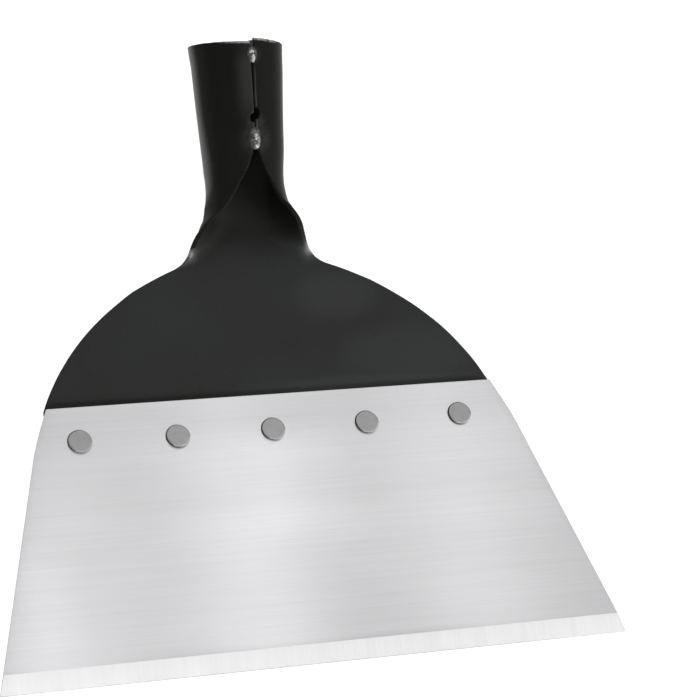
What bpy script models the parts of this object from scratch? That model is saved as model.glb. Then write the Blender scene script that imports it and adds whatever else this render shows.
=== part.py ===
"""Head of a long-handled garden shovel.

A bright steel blade with a ground cutting edge is riveted to a black plate.
The neck of that plate is rolled into a tapered socket, and two weld beads close
the seam of the socket.

All driving dimensions are in millimetres in the head's own drawing frame:
x to the right, y from the cutting edge towards the socket with y = 0 at the
upper edge of the blade, z out of the blade's front face.  One empty then
carries the whole head into metres, lying on its back, with its origin under
the middle of its bounding box.
"""
import math

import bmesh
import bpy
from mathutils import Matrix, Vector

MM = 0.001

# ---------------------------------------------------------------- dimensions
# blade
EDGE_Y = -103.9          # cutting edge
BEVEL_Y = -96.8          # where the ground bevel starts
BLADE_T = 1.5            # sheet thickness
EDGE_T = 0.45            # thickness left at the cutting edge
SIDE_AT_0 = 86.9         # half-width of the straight sides carried on to y = 0
SIDE_SLOPE = 0.272       # half-width lost per millimetre of y
SIDE_END_Y = -20.0       # the sides start to curve in here
CORNER_HALF = 85.0       # half-width at the upper edge
CORNER_SLOPE = 0.41      # and how fast it narrows there
CORNER_N = 6             # points on each curved corner

# black plate
PLATE_T = 2.0            # sheet thickness
PLATE_GAP = 0.3          # between the two sheets
PLATE_LOW_Y = -26.0      # lower edge, hidden behind the blade
PLATE_IN = 0.8           # behind the blade it stays this much inside the blade
ARC_Y = -34.0            # centre of the round upper outline
ARC_R = 92.1             # its radius
Z_MID = -BLADE_T - PLATE_GAP - PLATE_T / 2.0   # middle of the sheet

# socket
TILT = math.radians(25.25)      # socket axis against the plate
AXIS_Y, AXIS_Z = 85.97, 14.77   # point on the axis at v = 0
R_BASE = 15.02                  # outer radius at v = 0
TAPER = 0.0526                  # radius gained per millimetre of v
V_TUBE = 10.0                   # the round socket is complete from here on
V_MOUTH = 47.4                  # mouth, at the back wall
# each half of the mouth is one plane a little out of square: how far it stands
# proud of V_MOUTH at the back, at the side and at the seam
MOUTH = {1: (0.0, -0.85, 0.65), -1: (0.0, 0.05, -0.80)}
SEAM_TURN = math.radians(5.2)   # the seam lies this far right of the front
SEAM_GAP = 0.7                  # open width of the seam
HOLE_R = 1.7                    # the two half-round screw notches
HOLE_V_LEFT = 18.9
HOLE_V_RIGHT = 20.7

# how the neck is pressed: (y of the back wall, half-distance between the sheet's
# edges, their height over the back wall, wrap angle in degrees, largest radius)
NECK = (
    (48.0, 42.9, 0.0, 0.0, 12.0),
    (50.5, 38.2, 0.0, 0.0, 12.0),
    (52.5, 33.9, 0.0, 0.0, 12.0),
    (53.5, 31.6, 0.02, 2.0, 12.0),
    (54.5, 29.4, 0.25, 11.0, 12.0),
    (55.5, 27.6, 0.80, 21.0, 11.0),
    (57.0, 25.6, 1.40, 30.0, 10.0),
    (59.0, 23.8, 2.20, 38.0, 9.5),
    (60.5, 22.9, 3.10, 46.0, 9.0),
    (62.0, 22.1, 4.90, 57.0, 9.0),
    (63.3, 21.5, 7.00, 68.0, 9.5),
    (64.5, 20.9, 9.10, 77.0, 10.0),
    (66.0, 20.1, 11.6, 87.0, 10.5),
    (68.5, 18.2, 15.3, 100.0, 11.2),
    (71.0, 15.97, 18.1, 114.0, 12.0),
    (74.0, 13.10, 20.6, 131.0, 12.8),
    (77.0, 10.04, 22.5, 143.5, 14.0),
    (84.0, 6.63, 25.26, 156.0, 16.0),
    (92.0, 2.71, 27.57, 169.5, 16.0),
)
# the left edge curls in a little earlier: by how much, where, and over what length
LEFT_DROP, LEFT_DROP_Y, LEFT_DROP_SPAN = 2.2, 71.0, 9.0
TILT_START_Y = 54.0      # the section planes start to lean here
TILT_POWER = 1.63        # and lean fast at first
# the neck was pressed a little right of the middle: (y, shift)
NECK_SHIFT = ((0.0, 0.0), (36.0, 0.80), (55.0, 0.80), (68.0, 0.35), (88.0, 0.0))
# how much wider each half came out: (y of the back wall, millimetres at the flank)
TRIM = {
    -1: ((48.0, -0.30), (52.5, -0.20), (54.5, -0.40), (56.5, -0.50), (66.0, -0.40), (68.2, 0.05),
         (70.5, 0.30), (75.7, 0.30), (78.3, -0.10), (80.8, -0.40), (84.5, -0.60), (88.3, -0.43),
         (91.0, -0.20), (103.0, -0.12), (112.0, 0.0), (128.0, 0.05), (133.0, 0.35), (136.0, 0.50)),
    1: ((54.0, 0.0), (56.1, 0.25), (58.3, 0.90), (60.5, 0.97), (62.4, 0.70), (64.0, 0.39),
        (65.7, 0.0), (69.5, -0.10), (74.8, -0.27), (77.7, -0.38), (83.0, -0.50), (85.7, -0.30),
        (88.4, 0.0), (93.5, 0.46), (98.0, 0.68), (103.0, 0.53), (112.0, 0.43), (125.0, 0.43),
        (132.0, 0.30), (136.0, 0.30)),
}
# slope of the back wall: (y, rise per millimetre)
SLOPES = ((61.0, 0.0), (66.5, 0.150), (84.0, 0.165), (101.2, 0.4716))

# rivets
RIVETS = ((-74.7, -13.7), (-38.8, -14.3), (-3.0, -14.2), (33.1, -14.1), (69.9, -13.3))
HEAD_R, HEAD_H, HEAD_EDGE = 4.4, 0.6, 0.15
SHANK_R, RIVET_HOLE_R = 2.5, 2.8
TAIL_R, TAIL_H = 3.9, 0.8
RIVET_SEGMENTS = 20

# weld beads: (name, v of the middle, distance right of the seam, half-length,
# half-width, height)
WELDS = (
    ("seam_weld_upper", 41.4, -0.1, 3.1, 2.2, 1.3),
    ("seam_weld_lower", 10.9, -0.6, 4.3, 2.3, 1.5),
)

CLEAR = 0.3              # gap between touching pieces

# mesh fineness
HALF_COLUMNS = 15


# ---------------------------------------------------------------- geometry
def hermite(t, a, da, b, db):
    return ((2 * t ** 3 - 3 * t ** 2 + 1) * a + (t ** 3 - 2 * t ** 2 + t) * da
            + (3 * t ** 2 - 2 * t ** 3) * b + (t ** 3 - t ** 2) * db)


def blade_half(y):
    """Half-width of the blade: straight sides that round in at the top."""
    if y <= SIDE_END_Y:
        return SIDE_AT_0 - SIDE_SLOPE * y
    span = -SIDE_END_Y
    return hermite((y - SIDE_END_Y) / span, SIDE_AT_0 - SIDE_SLOPE * SIDE_END_Y,
                   -SIDE_SLOPE * span, CORNER_HALF, -CORNER_SLOPE * span)


def plate_half(y):
    """Half-width of the flat plate: a round outline, tucked in behind the blade."""
    arc = math.sqrt(ARC_R ** 2 - (y - ARC_Y) ** 2)
    if y >= 0.0:
        return arc + 0.9 * (max(y - 38.0, 0.0) / 8.0) ** 2
    tuck = min(-y / 3.0, 1.0)
    return (1.0 - tuck) * arc + tuck * (blade_half(y) - PLATE_IN)


def monotone(xs, ys):
    """A smooth curve through the stations that never overshoots them."""
    n = len(xs)
    h = [xs[i + 1] - xs[i] for i in range(n - 1)]
    d = [(ys[i + 1] - ys[i]) / h[i] for i in range(n - 1)]
    m = [0.0] * n
    m[0], m[-1] = d[0], d[-1]
    for i in range(1, n - 1):
        if d[i - 1] * d[i] > 0.0:
            w1, w2 = 2 * h[i] + h[i - 1], h[i] + 2 * h[i - 1]
            m[i] = (w1 + w2) / (w1 / d[i - 1] + w2 / d[i])

    def curve(x):
        if x <= xs[0]:
            return ys[0]
        if x >= xs[-1]:
            return ys[-1]
        i = max(k for k in range(n - 1) if xs[k] <= x)
        t = (x - xs[i]) / h[i]
        return hermite(t, ys[i], h[i] * m[i], ys[i + 1], h[i] * m[i + 1])
    return curve


def outer_radius(v):
    return R_BASE + TAPER * v


def mid_radius(v):
    return outer_radius(v) - PLATE_T / 2.0


def axis_point(v):
    return AXIS_Y + v * math.cos(TILT), AXIS_Z + v * math.sin(TILT)


def tube_back(v):
    """Middle of the back wall at v."""
    y, z = axis_point(v)
    return y + mid_radius(v) * math.sin(TILT), z - mid_radius(v) * math.cos(TILT)


TUBE_Y, TUBE_Z = tube_back(V_TUBE)
STATIONS = NECK + ((TUBE_Y, 0.0, 2.0 * mid_radius(V_TUBE), 180.0, 16.0),)
STATION_YS = [station[0] for station in STATIONS]
edge_across = monotone(STATION_YS, [station[1] for station in STATIONS])
edge_height = monotone(STATION_YS, [station[2] for station in STATIONS])
wrap_angle = monotone(STATION_YS, [math.radians(station[3]) for station in STATIONS])
curl_limit = monotone(STATION_YS, [station[4] for station in STATIONS])
neck_shift = monotone([station[0] for station in NECK_SHIFT], [station[1] for station in NECK_SHIFT])
side_trim = {side: monotone([p[0] for p in table], [p[1] for p in table])
             for side, table in TRIM.items()}


def ease(t):
    t = min(max(t, 0.0), 1.0)
    return t * t * (3.0 - 2.0 * t)


def climb(y):
    """Height of the back wall over the flat plate, from the table of slopes."""
    total = 0.0
    for (y0, s0), (y1, s1) in zip(SLOPES, SLOPES[1:]):
        if y <= y0:
            break
        top = min(y, y1)
        total += (s0 + 0.5 * (s1 - s0) * (top - y0) / (y1 - y0)) * (top - y0)
    return total


def section(kind, value, side):
    """Back-wall point, plane tilt, flat half-width, radius, wrap and straight end of a row."""
    if kind == "tube":
        y, z = tube_back(value)
        return y, z, TILT, 0.0, mid_radius(value), math.pi, 0.0
    y = value
    z = Z_MID + (TUBE_Z - Z_MID) * climb(y) / climb(TUBE_Y)
    t = min(max((y - TILT_START_Y) / (TUBE_Y - TILT_START_Y), 0.0), 1.0)
    tilt = TILT * (1.0 - (1.0 - t) ** TILT_POWER)
    if y <= 46.0:
        return y, z, tilt, plate_half(y), 4.0, 0.0, 0.0
    at = y
    if side < 0:
        at += LEFT_DROP * ease(1.0 - abs(y - LEFT_DROP_Y) / LEFT_DROP_SPAN)
    across, wrap = edge_across(at), wrap_angle(at)
    if y < STATION_YS[0]:
        across = plate_half(46.0) + (across - plate_half(46.0)) * (y - 46.0) / 2.0
    if wrap < 0.01:
        return y, z, tilt, across, 4.0, 0.0, 0.0
    height = edge_height(at)
    radius = min(curl_limit(at), height / (1.0 - math.cos(wrap)))
    end = max(height - radius * (1.0 - math.cos(wrap)), 0.0) / math.sin(wrap) if wrap < 3.0 else 0.0
    flat = max(across - radius * math.sin(wrap) - end * math.cos(wrap), 0.0)
    return y, z, tilt, flat, radius, wrap, end


def mouth_slide(side, x, n):
    """How far the rim stands proud at x, and n in front of the socket's axis."""
    back, flank, seam = MOUTH[side]
    radius = outer_radius(V_MOUTH)
    level = 0.5 * (back + seam)
    return level + (seam - level) * n / radius + (flank - level) * abs(x) / radius


def sheet_point(row, side, fraction, offset, mouth=False):
    """A point of the formed sheet.

    side is +1 right, -1 left; fraction runs from the middle of the back wall
    to the free edge; offset is the distance outside the middle of the sheet.
    """
    y, z, tilt, flat, radius, wrap, end = row
    share = wrap / math.pi
    wrap_side = wrap - side * SEAM_TURN * share ** 2
    limit = math.pi - side * SEAM_TURN - 0.5 * SEAM_GAP / radius
    wrap_side = min(wrap_side, limit)
    run = fraction * (flat + radius * wrap_side + end)
    a = min(max((run - flat) / radius, 0.0), wrap_side)
    beyond = max(run - flat - radius * wrap_side, 0.0)
    x = min(run, flat) + (radius + offset) * math.sin(a) + beyond * math.cos(a)
    n = radius - (radius + offset) * math.cos(a) + beyond * math.sin(a)
    slide = mouth_slide(side, x, n - radius) if mouth else 0.0
    if y > 48.0:
        x += side_trim[side](y) * ease(x / (flat + radius)) * ease((y - 48.0) / 3.0)
    shift = neck_shift(y)
    return Vector((side * x + shift,
                   y - n * math.sin(tilt) + slide * math.cos(tilt),
                   z + n * math.cos(tilt) + slide * math.sin(tilt)))


def on_socket(v, turn, radius):
    """A point at v, at an angle from the front, at a radius round the axis."""
    y, z = axis_point(v)
    c = radius * math.cos(turn)
    return Vector((radius * math.sin(turn), y - c * math.sin(TILT), z + c * math.cos(TILT)))


# ---------------------------------------------------------------- scene tools
def clear_scene():
    for ob in list(bpy.data.objects):
        bpy.data.objects.remove(ob, do_unlink=True)


def material(name, colour, roughness, metallic):
    mat = bpy.data.materials.new(name)
    mat.use_nodes = True
    bsdf = mat.node_tree.nodes["Principled BSDF"]
    bsdf.inputs["Base Color"].default_value = (*colour, 1.0)
    bsdf.inputs["Roughness"].default_value = roughness
    bsdf.inputs["Metallic"].default_value = metallic
    return mat


def new_object(name, bm, mat, parent):
    mesh = bpy.data.meshes.new(name)
    bmesh.ops.scale(bm, vec=(MM, MM, MM), verts=bm.verts[:])
    bmesh.ops.recalc_face_normals(bm, faces=bm.faces[:])
    bm.to_mesh(mesh)
    bm.free()
    ob = bpy.data.objects.new(name, mesh)
    bpy.context.collection.objects.link(ob)
    mesh.materials.append(mat)
    ob.parent = parent
    return ob


def cylinder_cutter(name, centre, axis, radius, depth, parent, segments=24):
    bm = bmesh.new()
    turn = Vector((0, 0, 1)).rotation_difference(axis).to_matrix().to_4x4()
    bmesh.ops.create_cone(bm, cap_ends=True, segments=segments, radius1=radius,
                          radius2=radius, depth=depth,
                          matrix=Matrix.Translation(centre) @ turn)
    bmesh.ops.scale(bm, vec=(MM, MM, MM), verts=bm.verts[:])
    mesh = bpy.data.meshes.new(name)
    bm.to_mesh(mesh)
    bm.free()
    ob = bpy.data.objects.new(name, mesh)
    bpy.context.collection.objects.link(ob)
    ob.parent = parent
    ob.hide_render = True
    ob.display_type = 'WIRE'
    return ob


def cut(ob, cutter):
    mod = ob.modifiers.new("cut_" + cutter.name, 'BOOLEAN')
    mod.operation = 'DIFFERENCE'
    mod.solver = 'EXACT'
    mod.object = cutter


def smooth(ob, degrees):
    ob.data.shade_smooth()
    ob.data.set_sharp_from_angle(angle=math.radians(degrees))


# ---------------------------------------------------------------- pieces
def make_blade(mat, parent):
    """Front outline extruded back; the strip along the cutting edge is ground."""
    side_ys = [EDGE_Y, BEVEL_Y, SIDE_END_Y]
    side_ys += [SIDE_END_Y * (1.0 - k / CORNER_N) for k in range(1, CORNER_N + 1)]
    bm = bmesh.new()
    right = [bm.verts.new((blade_half(y), y, 0.0)) for y in side_ys]
    left = [bm.verts.new((-blade_half(y), y, 0.0)) for y in side_ys]
    bevel = bm.faces.new([left[0], right[0], right[1], left[1]])
    body = bm.faces.new(right[1:] + left[:0:-1])
    extruded = bmesh.ops.extrude_face_region(bm, geom=[bevel, body])
    for item in extruded["geom"]:
        if isinstance(item, bmesh.types.BMVert):
            item.co.z = -BLADE_T
    for vert in (left[0], right[0]):
        vert.co.z = -(BLADE_T - EDGE_T)
    ob = new_object("blade", bm, mat, parent)
    for i, (x, y) in enumerate(RIVETS):
        cut(ob, cylinder_cutter("blade_hole_%d" % (i + 1), Vector((x, y, -BLADE_T / 2)),
                                Vector((0, 0, 1)), RIVET_HOLE_R, 6.0, parent))
    return ob


def make_socket_plate(mat, parent):
    """One sheet: flat plate, pressed neck and rolled socket."""
    rows = [("plate", y) for y in (PLATE_LOW_Y, SIDE_END_Y, -12.0, -3.0, 0.0, 7.0, 14.0, 21.0,
                                   28.0, 34.0, 39.0, 43.0, 46.0, 48.0, 49.5, 51.0, 52.5,
                                   54.0, 55.2, 56.5, 58.0, 59.5, 61.0, 62.5, 64.0, 65.5,
                                   67.3, 69.3, 71.5, 74.0, 77.0, 81.0, 86.0, 91.0, 95.0, 98.5)]
    rows += [("tube", v) for v in (V_TUBE, 0.5 * (V_TUBE + V_MOUTH), V_MOUTH)]
    n = HALF_COLUMNS
    columns = [(-1, (n - k) / n) for k in range(n)] + [(1, k / n) for k in range(n + 1)]
    last = len(columns) - 1
    bm = bmesh.new()
    outer, inner = [], []
    for kind, value in rows:
        row = {side: section(kind, value, side) for side in (-1, 1)}
        for grid, offset in ((outer, PLATE_T / 2.0), (inner, -PLATE_T / 2.0)):
            grid.append([bm.verts.new(sheet_point(row[side], side, f, offset, value == V_MOUTH))
                         for side, f in columns])
    for grid in (outer, inner):
        for low, high in zip(grid, grid[1:]):
            for k in range(last):
                bm.faces.new((low[k], low[k + 1], high[k + 1], high[k]))
    for k in range(last):
        for r in (0, -1):
            bm.faces.new((outer[r][k], outer[r][k + 1], inner[r][k + 1], inner[r][k]))
    for r in range(len(rows) - 1):
        for k in (0, last):
            bm.faces.new((outer[r][k], outer[r + 1][k], inner[r + 1][k], inner[r][k]))
    ob = new_object("socket_plate", bm, mat, parent)
    for i, (x, y) in enumerate(RIVETS):
        cut(ob, cylinder_cutter("plate_hole_%d" % (i + 1), Vector((x, y, Z_MID)),
                                Vector((0, 0, 1)), RIVET_HOLE_R, 6.0, parent))
    for name, v, turn in (("notch_left", HOLE_V_LEFT, SEAM_TURN - 0.4 / R_BASE),
                          ("notch_right", HOLE_V_RIGHT, SEAM_TURN + 0.4 / R_BASE)):
        r = mid_radius(v)
        out = on_socket(v, turn, r + 1.0) - on_socket(v, turn, r)
        cut(ob, cylinder_cutter(name, on_socket(v, turn, r), out, HOLE_R, 8.0, parent))
    return ob


def make_rivet(name, x, y, mat, parent):
    """Turned profile: flat head, shank through both sheets, low upset tail."""
    under_head = CLEAR
    under_plate = Z_MID - PLATE_T / 2.0 - CLEAR
    profile = [(0.0, under_head + HEAD_H), (HEAD_R - HEAD_EDGE, under_head + HEAD_H),
               (HEAD_R, under_head + HEAD_H - HEAD_EDGE), (HEAD_R, under_head),
               (SHANK_R, under_head), (SHANK_R, under_plate), (TAIL_R, under_plate),
               (TAIL_R * 0.8, under_plate - TAIL_H * 0.75), (TAIL_R * 0.45, under_plate - TAIL_H),
               (0.0, under_plate - TAIL_H)]
    bm = bmesh.new()
    verts = [bm.verts.new((r, 0.0, z)) for r, z in profile]
    edges = [bm.edges.new(pair) for pair in zip(verts, verts[1:])]
    bmesh.ops.spin(bm, geom=verts + edges, cent=(0, 0, 0), axis=(0, 0, 1),
                   angle=2 * math.pi, steps=RIVET_SEGMENTS, use_merge=True)
    bmesh.ops.remove_doubles(bm, verts=bm.verts[:], dist=1e-4)
    ob = new_object(name, bm, mat, parent)
    ob.location = (x * MM, y * MM, 0.0)
    smooth(ob, 35)
    return ob


def make_weld(name, v_mid, across, half_len, half_wid, height, mat, parent):
    """A rippled bead lying over the seam, following the outside of the socket."""
    rings, spokes = 4, 16
    bm = bmesh.new()

    def at(r, spoke, top):
        phi = 2 * math.pi * spoke / spokes
        du, dw = half_len * r * math.cos(phi), half_wid * r * math.sin(phi)
        v = v_mid + du
        h = CLEAR
        if top:
            ripple = 0.10 * math.cos(2 * math.pi * du / 2.0)
            h += 0.3 + (height - 0.3) * math.sqrt(max(1.0 - r * r, 0.0)) * (1.0 + ripple)
        return on_socket(v, SEAM_TURN + (across + dw) / outer_radius(v), outer_radius(v) + h)

    layers = []
    for top in (True, False):
        centre = bm.verts.new(at(0.0, 0, top))
        loops = [[bm.verts.new(at((k / rings) ** 0.8, s, top)) for s in range(spokes)]
                 for k in range(1, rings + 1)]
        for s in range(spokes):
            e = (s + 1) % spokes
            bm.faces.new((centre, loops[0][s], loops[0][e]))
            for a, b in zip(loops, loops[1:]):
                bm.faces.new((a[s], b[s], b[e], a[e]))
        layers.append(loops[-1])
    upper, lower = layers
    for s in range(spokes):
        e = (s + 1) % spokes
        bm.faces.new((upper[s], lower[s], lower[e], upper[e]))
    ob = new_object(name, bm, mat, parent)
    smooth(ob, 50)
    return ob


# ---------------------------------------------------------------- assembly
def main():
    clear_scene()

    steel = material("blade_steel", (0.68, 0.68, 0.67), 0.32, 1.0)
    black = material("black_paint", (0.030, 0.030, 0.029), 0.30, 0.0)
    rivet_steel = material("rivet_steel", (0.36, 0.36, 0.36), 0.38, 1.0)

    # carries the drawing frame into the part's frame: the middle of the length is
    # at x = 0, y = 0, and the rivet tails touch z = 0
    mouth_y = axis_point(V_MOUTH)[0] + outer_radius(V_MOUTH) * math.sin(TILT)
    lowest = Z_MID - PLATE_T / 2.0 - CLEAR - TAIL_H
    frame = bpy.data.objects.new("shovel_head", None)
    bpy.context.collection.objects.link(frame)
    frame.location = (0.0, -0.5 * (mouth_y + EDGE_Y) * MM, -lowest * MM)

    make_blade(steel, frame)
    make_socket_plate(black, frame)
    for i, (x, y) in enumerate(RIVETS):
        make_rivet("rivet_%d" % (i + 1), x, y, rivet_steel, frame)
    for name, v, across, half_len, half_wid, height in WELDS:
        make_weld(name, v, across, half_len, half_wid, height, black, frame)


main()
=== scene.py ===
"""Looks of the garden shovel head: fine meshes, procedural finishes, light and camera.

The shapes repeat the rules of the construction model at a finer pitch.  They are
worked out in millimetres in the drawing frame (y = 0 at the upper edge of the
blade, z = 0 on its front face) and carried into the row frame in metres.
"""
import math

import bmesh
import bpy
from mathutils import Matrix, Vector, noise


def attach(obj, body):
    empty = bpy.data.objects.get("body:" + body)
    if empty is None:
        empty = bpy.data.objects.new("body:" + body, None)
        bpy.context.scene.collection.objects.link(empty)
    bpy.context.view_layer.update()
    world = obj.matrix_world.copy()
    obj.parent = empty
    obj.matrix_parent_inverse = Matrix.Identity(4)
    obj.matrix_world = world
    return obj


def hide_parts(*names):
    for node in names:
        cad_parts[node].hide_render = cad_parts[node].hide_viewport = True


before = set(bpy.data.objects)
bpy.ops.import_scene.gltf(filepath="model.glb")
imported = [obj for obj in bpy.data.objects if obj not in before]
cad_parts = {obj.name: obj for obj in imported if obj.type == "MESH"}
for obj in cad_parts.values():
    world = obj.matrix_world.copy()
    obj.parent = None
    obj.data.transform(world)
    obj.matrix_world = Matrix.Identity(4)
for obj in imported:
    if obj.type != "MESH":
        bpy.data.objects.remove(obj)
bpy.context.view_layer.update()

MM = 0.001

# ------------------------------------------------------------------ dimensions
EDGE_Y, BEVEL_Y, BLADE_T, EDGE_T = -103.9, -96.8, 1.5, 0.45
SIDE_AT_0, SIDE_SLOPE, SIDE_END_Y = 86.9, 0.272, -20.0
CORNER_HALF, CORNER_SLOPE = 85.0, 0.41

PLATE_T, PLATE_GAP, PLATE_LOW_Y, PLATE_IN = 2.0, 0.3, -26.0, 0.8
ARC_Y, ARC_R = -34.0, 92.1
Z_MID = -BLADE_T - PLATE_GAP - PLATE_T / 2.0

TILT = math.radians(25.25)
AXIS_Y, AXIS_Z, R_BASE, TAPER = 85.97, 14.77, 15.02, 0.0526
V_TUBE, V_MOUTH = 10.0, 47.4
MOUTH = {1: (0.0, -0.85, 0.65), -1: (0.0, 0.05, -0.80)}
SEAM_TURN, SEAM_GAP = math.radians(5.2), 0.7
HOLE_R, HOLE_V_LEFT, HOLE_V_RIGHT = 1.7, 18.4, 20.1
HOLE_LONG_LEFT, HOLE_LONG_RIGHT = 1.8, 2.5

# how the neck is pressed: (y of the back wall, half-distance between the sheet's
# edges, their height over the back wall, wrap angle in degrees, largest radius)
NECK = (
    (48.0, 42.9, 0.0, 0.0, 12.0), (50.5, 38.2, 0.0, 0.0, 12.0), (52.5, 33.9, 0.0, 0.0, 12.0),
    (53.5, 31.6, 0.02, 2.0, 12.0), (54.5, 29.4, 0.25, 11.0, 12.0), (55.5, 27.6, 0.80, 21.0, 11.0),
    (57.0, 25.6, 1.40, 30.0, 10.0), (59.0, 23.8, 2.20, 38.0, 9.5), (60.5, 22.9, 3.10, 46.0, 9.0),
    (62.0, 22.1, 4.90, 57.0, 9.0), (63.3, 21.5, 7.00, 68.0, 9.5), (64.5, 20.9, 9.10, 77.0, 10.0),
    (66.0, 20.1, 11.6, 87.0, 10.5), (68.5, 18.2, 15.3, 100.0, 11.2), (71.0, 15.97, 18.1, 114.0, 12.0),
    (74.0, 13.10, 20.6, 131.0, 12.8), (77.0, 10.04, 22.5, 143.5, 14.0), (84.0, 6.63, 25.26, 156.0, 16.0),
    (92.0, 2.71, 27.57, 169.5, 16.0),
)
LEFT_DROP, LEFT_DROP_Y, LEFT_DROP_SPAN = 2.2, 71.0, 9.0   # the left edge curls in a little earlier
TILT_START_Y, TILT_POWER = 54.0, 1.63
NECK_SHIFT = ((0.0, 0.0), (36.0, 0.80), (55.0, 0.80), (68.0, 0.35), (88.0, 0.0))
# how much wider each half came out: (y of the back wall, millimetres at the flank)
TRIM_LEFT = ((48.0, -0.30), (52.5, -0.20), (54.5, -0.40), (56.5, -0.50), (66.0, -0.40), (68.2, 0.05),
             (70.5, 0.30), (75.7, 0.30), (78.3, -0.10), (80.8, -0.40), (84.5, -0.60), (88.3, -0.43),
             (91.0, -0.20), (103.0, -0.12), (112.0, 0.0), (128.0, 0.05), (133.0, 0.35), (136.0, 0.50))
TRIM_RIGHT = ((54.0, 0.0), (56.1, 0.25), (58.3, 0.90), (60.5, 0.97), (62.4, 0.70), (64.0, 0.39),
              (65.7, 0.0), (69.5, -0.10), (74.8, -0.27), (77.7, -0.38), (83.0, -0.50), (85.7, -0.30),
              (88.4, 0.0), (93.5, 0.46), (98.0, 0.68), (103.0, 0.53), (112.0, 0.43), (125.0, 0.43),
              (132.0, 0.30), (136.0, 0.30))
# slope of the back wall: (y, rise per millimetre)
SLOPES = ((61.0, 0.0), (66.5, 0.150), (84.0, 0.165), (101.2, 0.4716))

RIVETS = ((-74.7, -13.7), (-38.8, -14.3), (-3.0, -14.2), (33.1, -14.1), (69.9, -13.3))
HEAD_R, HEAD_H = 4.4, 0.6
SHANK_R, RIVET_HOLE_R = 2.5, 2.8
TAIL_R, TAIL_H = 3.9, 0.8
CLEAR = 0.3

SHIFT_Y = -0.5 * (AXIS_Y + V_MOUTH * math.cos(TILT)
                  + (R_BASE + TAPER * V_MOUTH) * math.sin(TILT) + EDGE_Y)
LIFT = -(Z_MID - PLATE_T / 2.0 - CLEAR - TAIL_H)


def to_row(p):
    return Vector((p[0] * MM, (p[1] + SHIFT_Y) * MM, (p[2] + LIFT) * MM))


# ------------------------------------------------------------------ curves
def clamp(t, low=0.0, high=1.0):
    return min(max(t, low), high)


def ease(t):
    t = clamp(t)
    return t * t * (3.0 - 2.0 * t)


def hermite(t, a, da, b, db):
    return ((2 * t ** 3 - 3 * t ** 2 + 1) * a + (t ** 3 - 2 * t ** 2 + t) * da
            + (3 * t ** 2 - 2 * t ** 3) * b + (t ** 3 - t ** 2) * db)


def monotone(xs, ys):
    n = len(xs)
    h = [xs[i + 1] - xs[i] for i in range(n - 1)]
    d = [(ys[i + 1] - ys[i]) / h[i] for i in range(n - 1)]
    m = [0.0] * n
    m[0], m[-1] = d[0], d[-1]
    for i in range(1, n - 1):
        if d[i - 1] * d[i] > 0.0:
            w1, w2 = 2 * h[i] + h[i - 1], h[i] + 2 * h[i - 1]
            m[i] = (w1 + w2) / (w1 / d[i - 1] + w2 / d[i])

    def curve(x):
        if x <= xs[0]:
            return ys[0]
        if x >= xs[-1]:
            return ys[-1]
        i = max(k for k in range(n - 1) if xs[k] <= x)
        t = (x - xs[i]) / h[i]
        return hermite(t, ys[i], h[i] * m[i], ys[i + 1], h[i] * m[i + 1])
    return curve


def blade_half(y):
    if y <= SIDE_END_Y:
        return SIDE_AT_0 - SIDE_SLOPE * y
    span = -SIDE_END_Y
    return hermite((y - SIDE_END_Y) / span, SIDE_AT_0 - SIDE_SLOPE * SIDE_END_Y,
                   -SIDE_SLOPE * span, CORNER_HALF, -CORNER_SLOPE * span)


def plate_half(y):
    arc = math.sqrt(ARC_R ** 2 - (y - ARC_Y) ** 2)
    if y >= 0.0:
        return arc + 0.9 * (max(y - 38.0, 0.0) / 8.0) ** 2
    tuck = min(-y / 3.0, 1.0)
    return (1.0 - tuck) * arc + tuck * (blade_half(y) - PLATE_IN)


def outer_radius(v):
    return R_BASE + TAPER * v


def mid_radius(v):
    return outer_radius(v) - PLATE_T / 2.0


def axis_point(v):
    return AXIS_Y + v * math.cos(TILT), AXIS_Z + v * math.sin(TILT)


def tube_back(v):
    y, z = axis_point(v)
    return y + mid_radius(v) * math.sin(TILT), z - mid_radius(v) * math.cos(TILT)


TUBE_Y, TUBE_Z = tube_back(V_TUBE)
STATIONS = NECK + ((TUBE_Y, 0.0, 2.0 * mid_radius(V_TUBE), 180.0, 16.0),)
STATION_YS = [s[0] for s in STATIONS]
edge_across = monotone(STATION_YS, [s[1] for s in STATIONS])
edge_height = monotone(STATION_YS, [s[2] for s in STATIONS])
wrap_angle = monotone(STATION_YS, [math.radians(s[3]) for s in STATIONS])
curl_limit = monotone(STATION_YS, [s[4] for s in STATIONS])
neck_shift = monotone([s[0] for s in NECK_SHIFT], [s[1] for s in NECK_SHIFT])
side_trim = {-1: monotone([s[0] for s in TRIM_LEFT], [s[1] for s in TRIM_LEFT]),
             1: monotone([s[0] for s in TRIM_RIGHT], [s[1] for s in TRIM_RIGHT])}


def climb(y):
    """Height of the back wall over the flat plate, from the table of slopes."""
    total = 0.0
    for (y0, s0), (y1, s1) in zip(SLOPES, SLOPES[1:]):
        if y <= y0:
            break
        top = min(y, y1)
        s_top = s0 + (s1 - s0) * (top - y0) / (y1 - y0)
        total += 0.5 * (s0 + s_top) * (top - y0)
    return total


CLIMB_ALL = climb(TUBE_Y)


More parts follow.
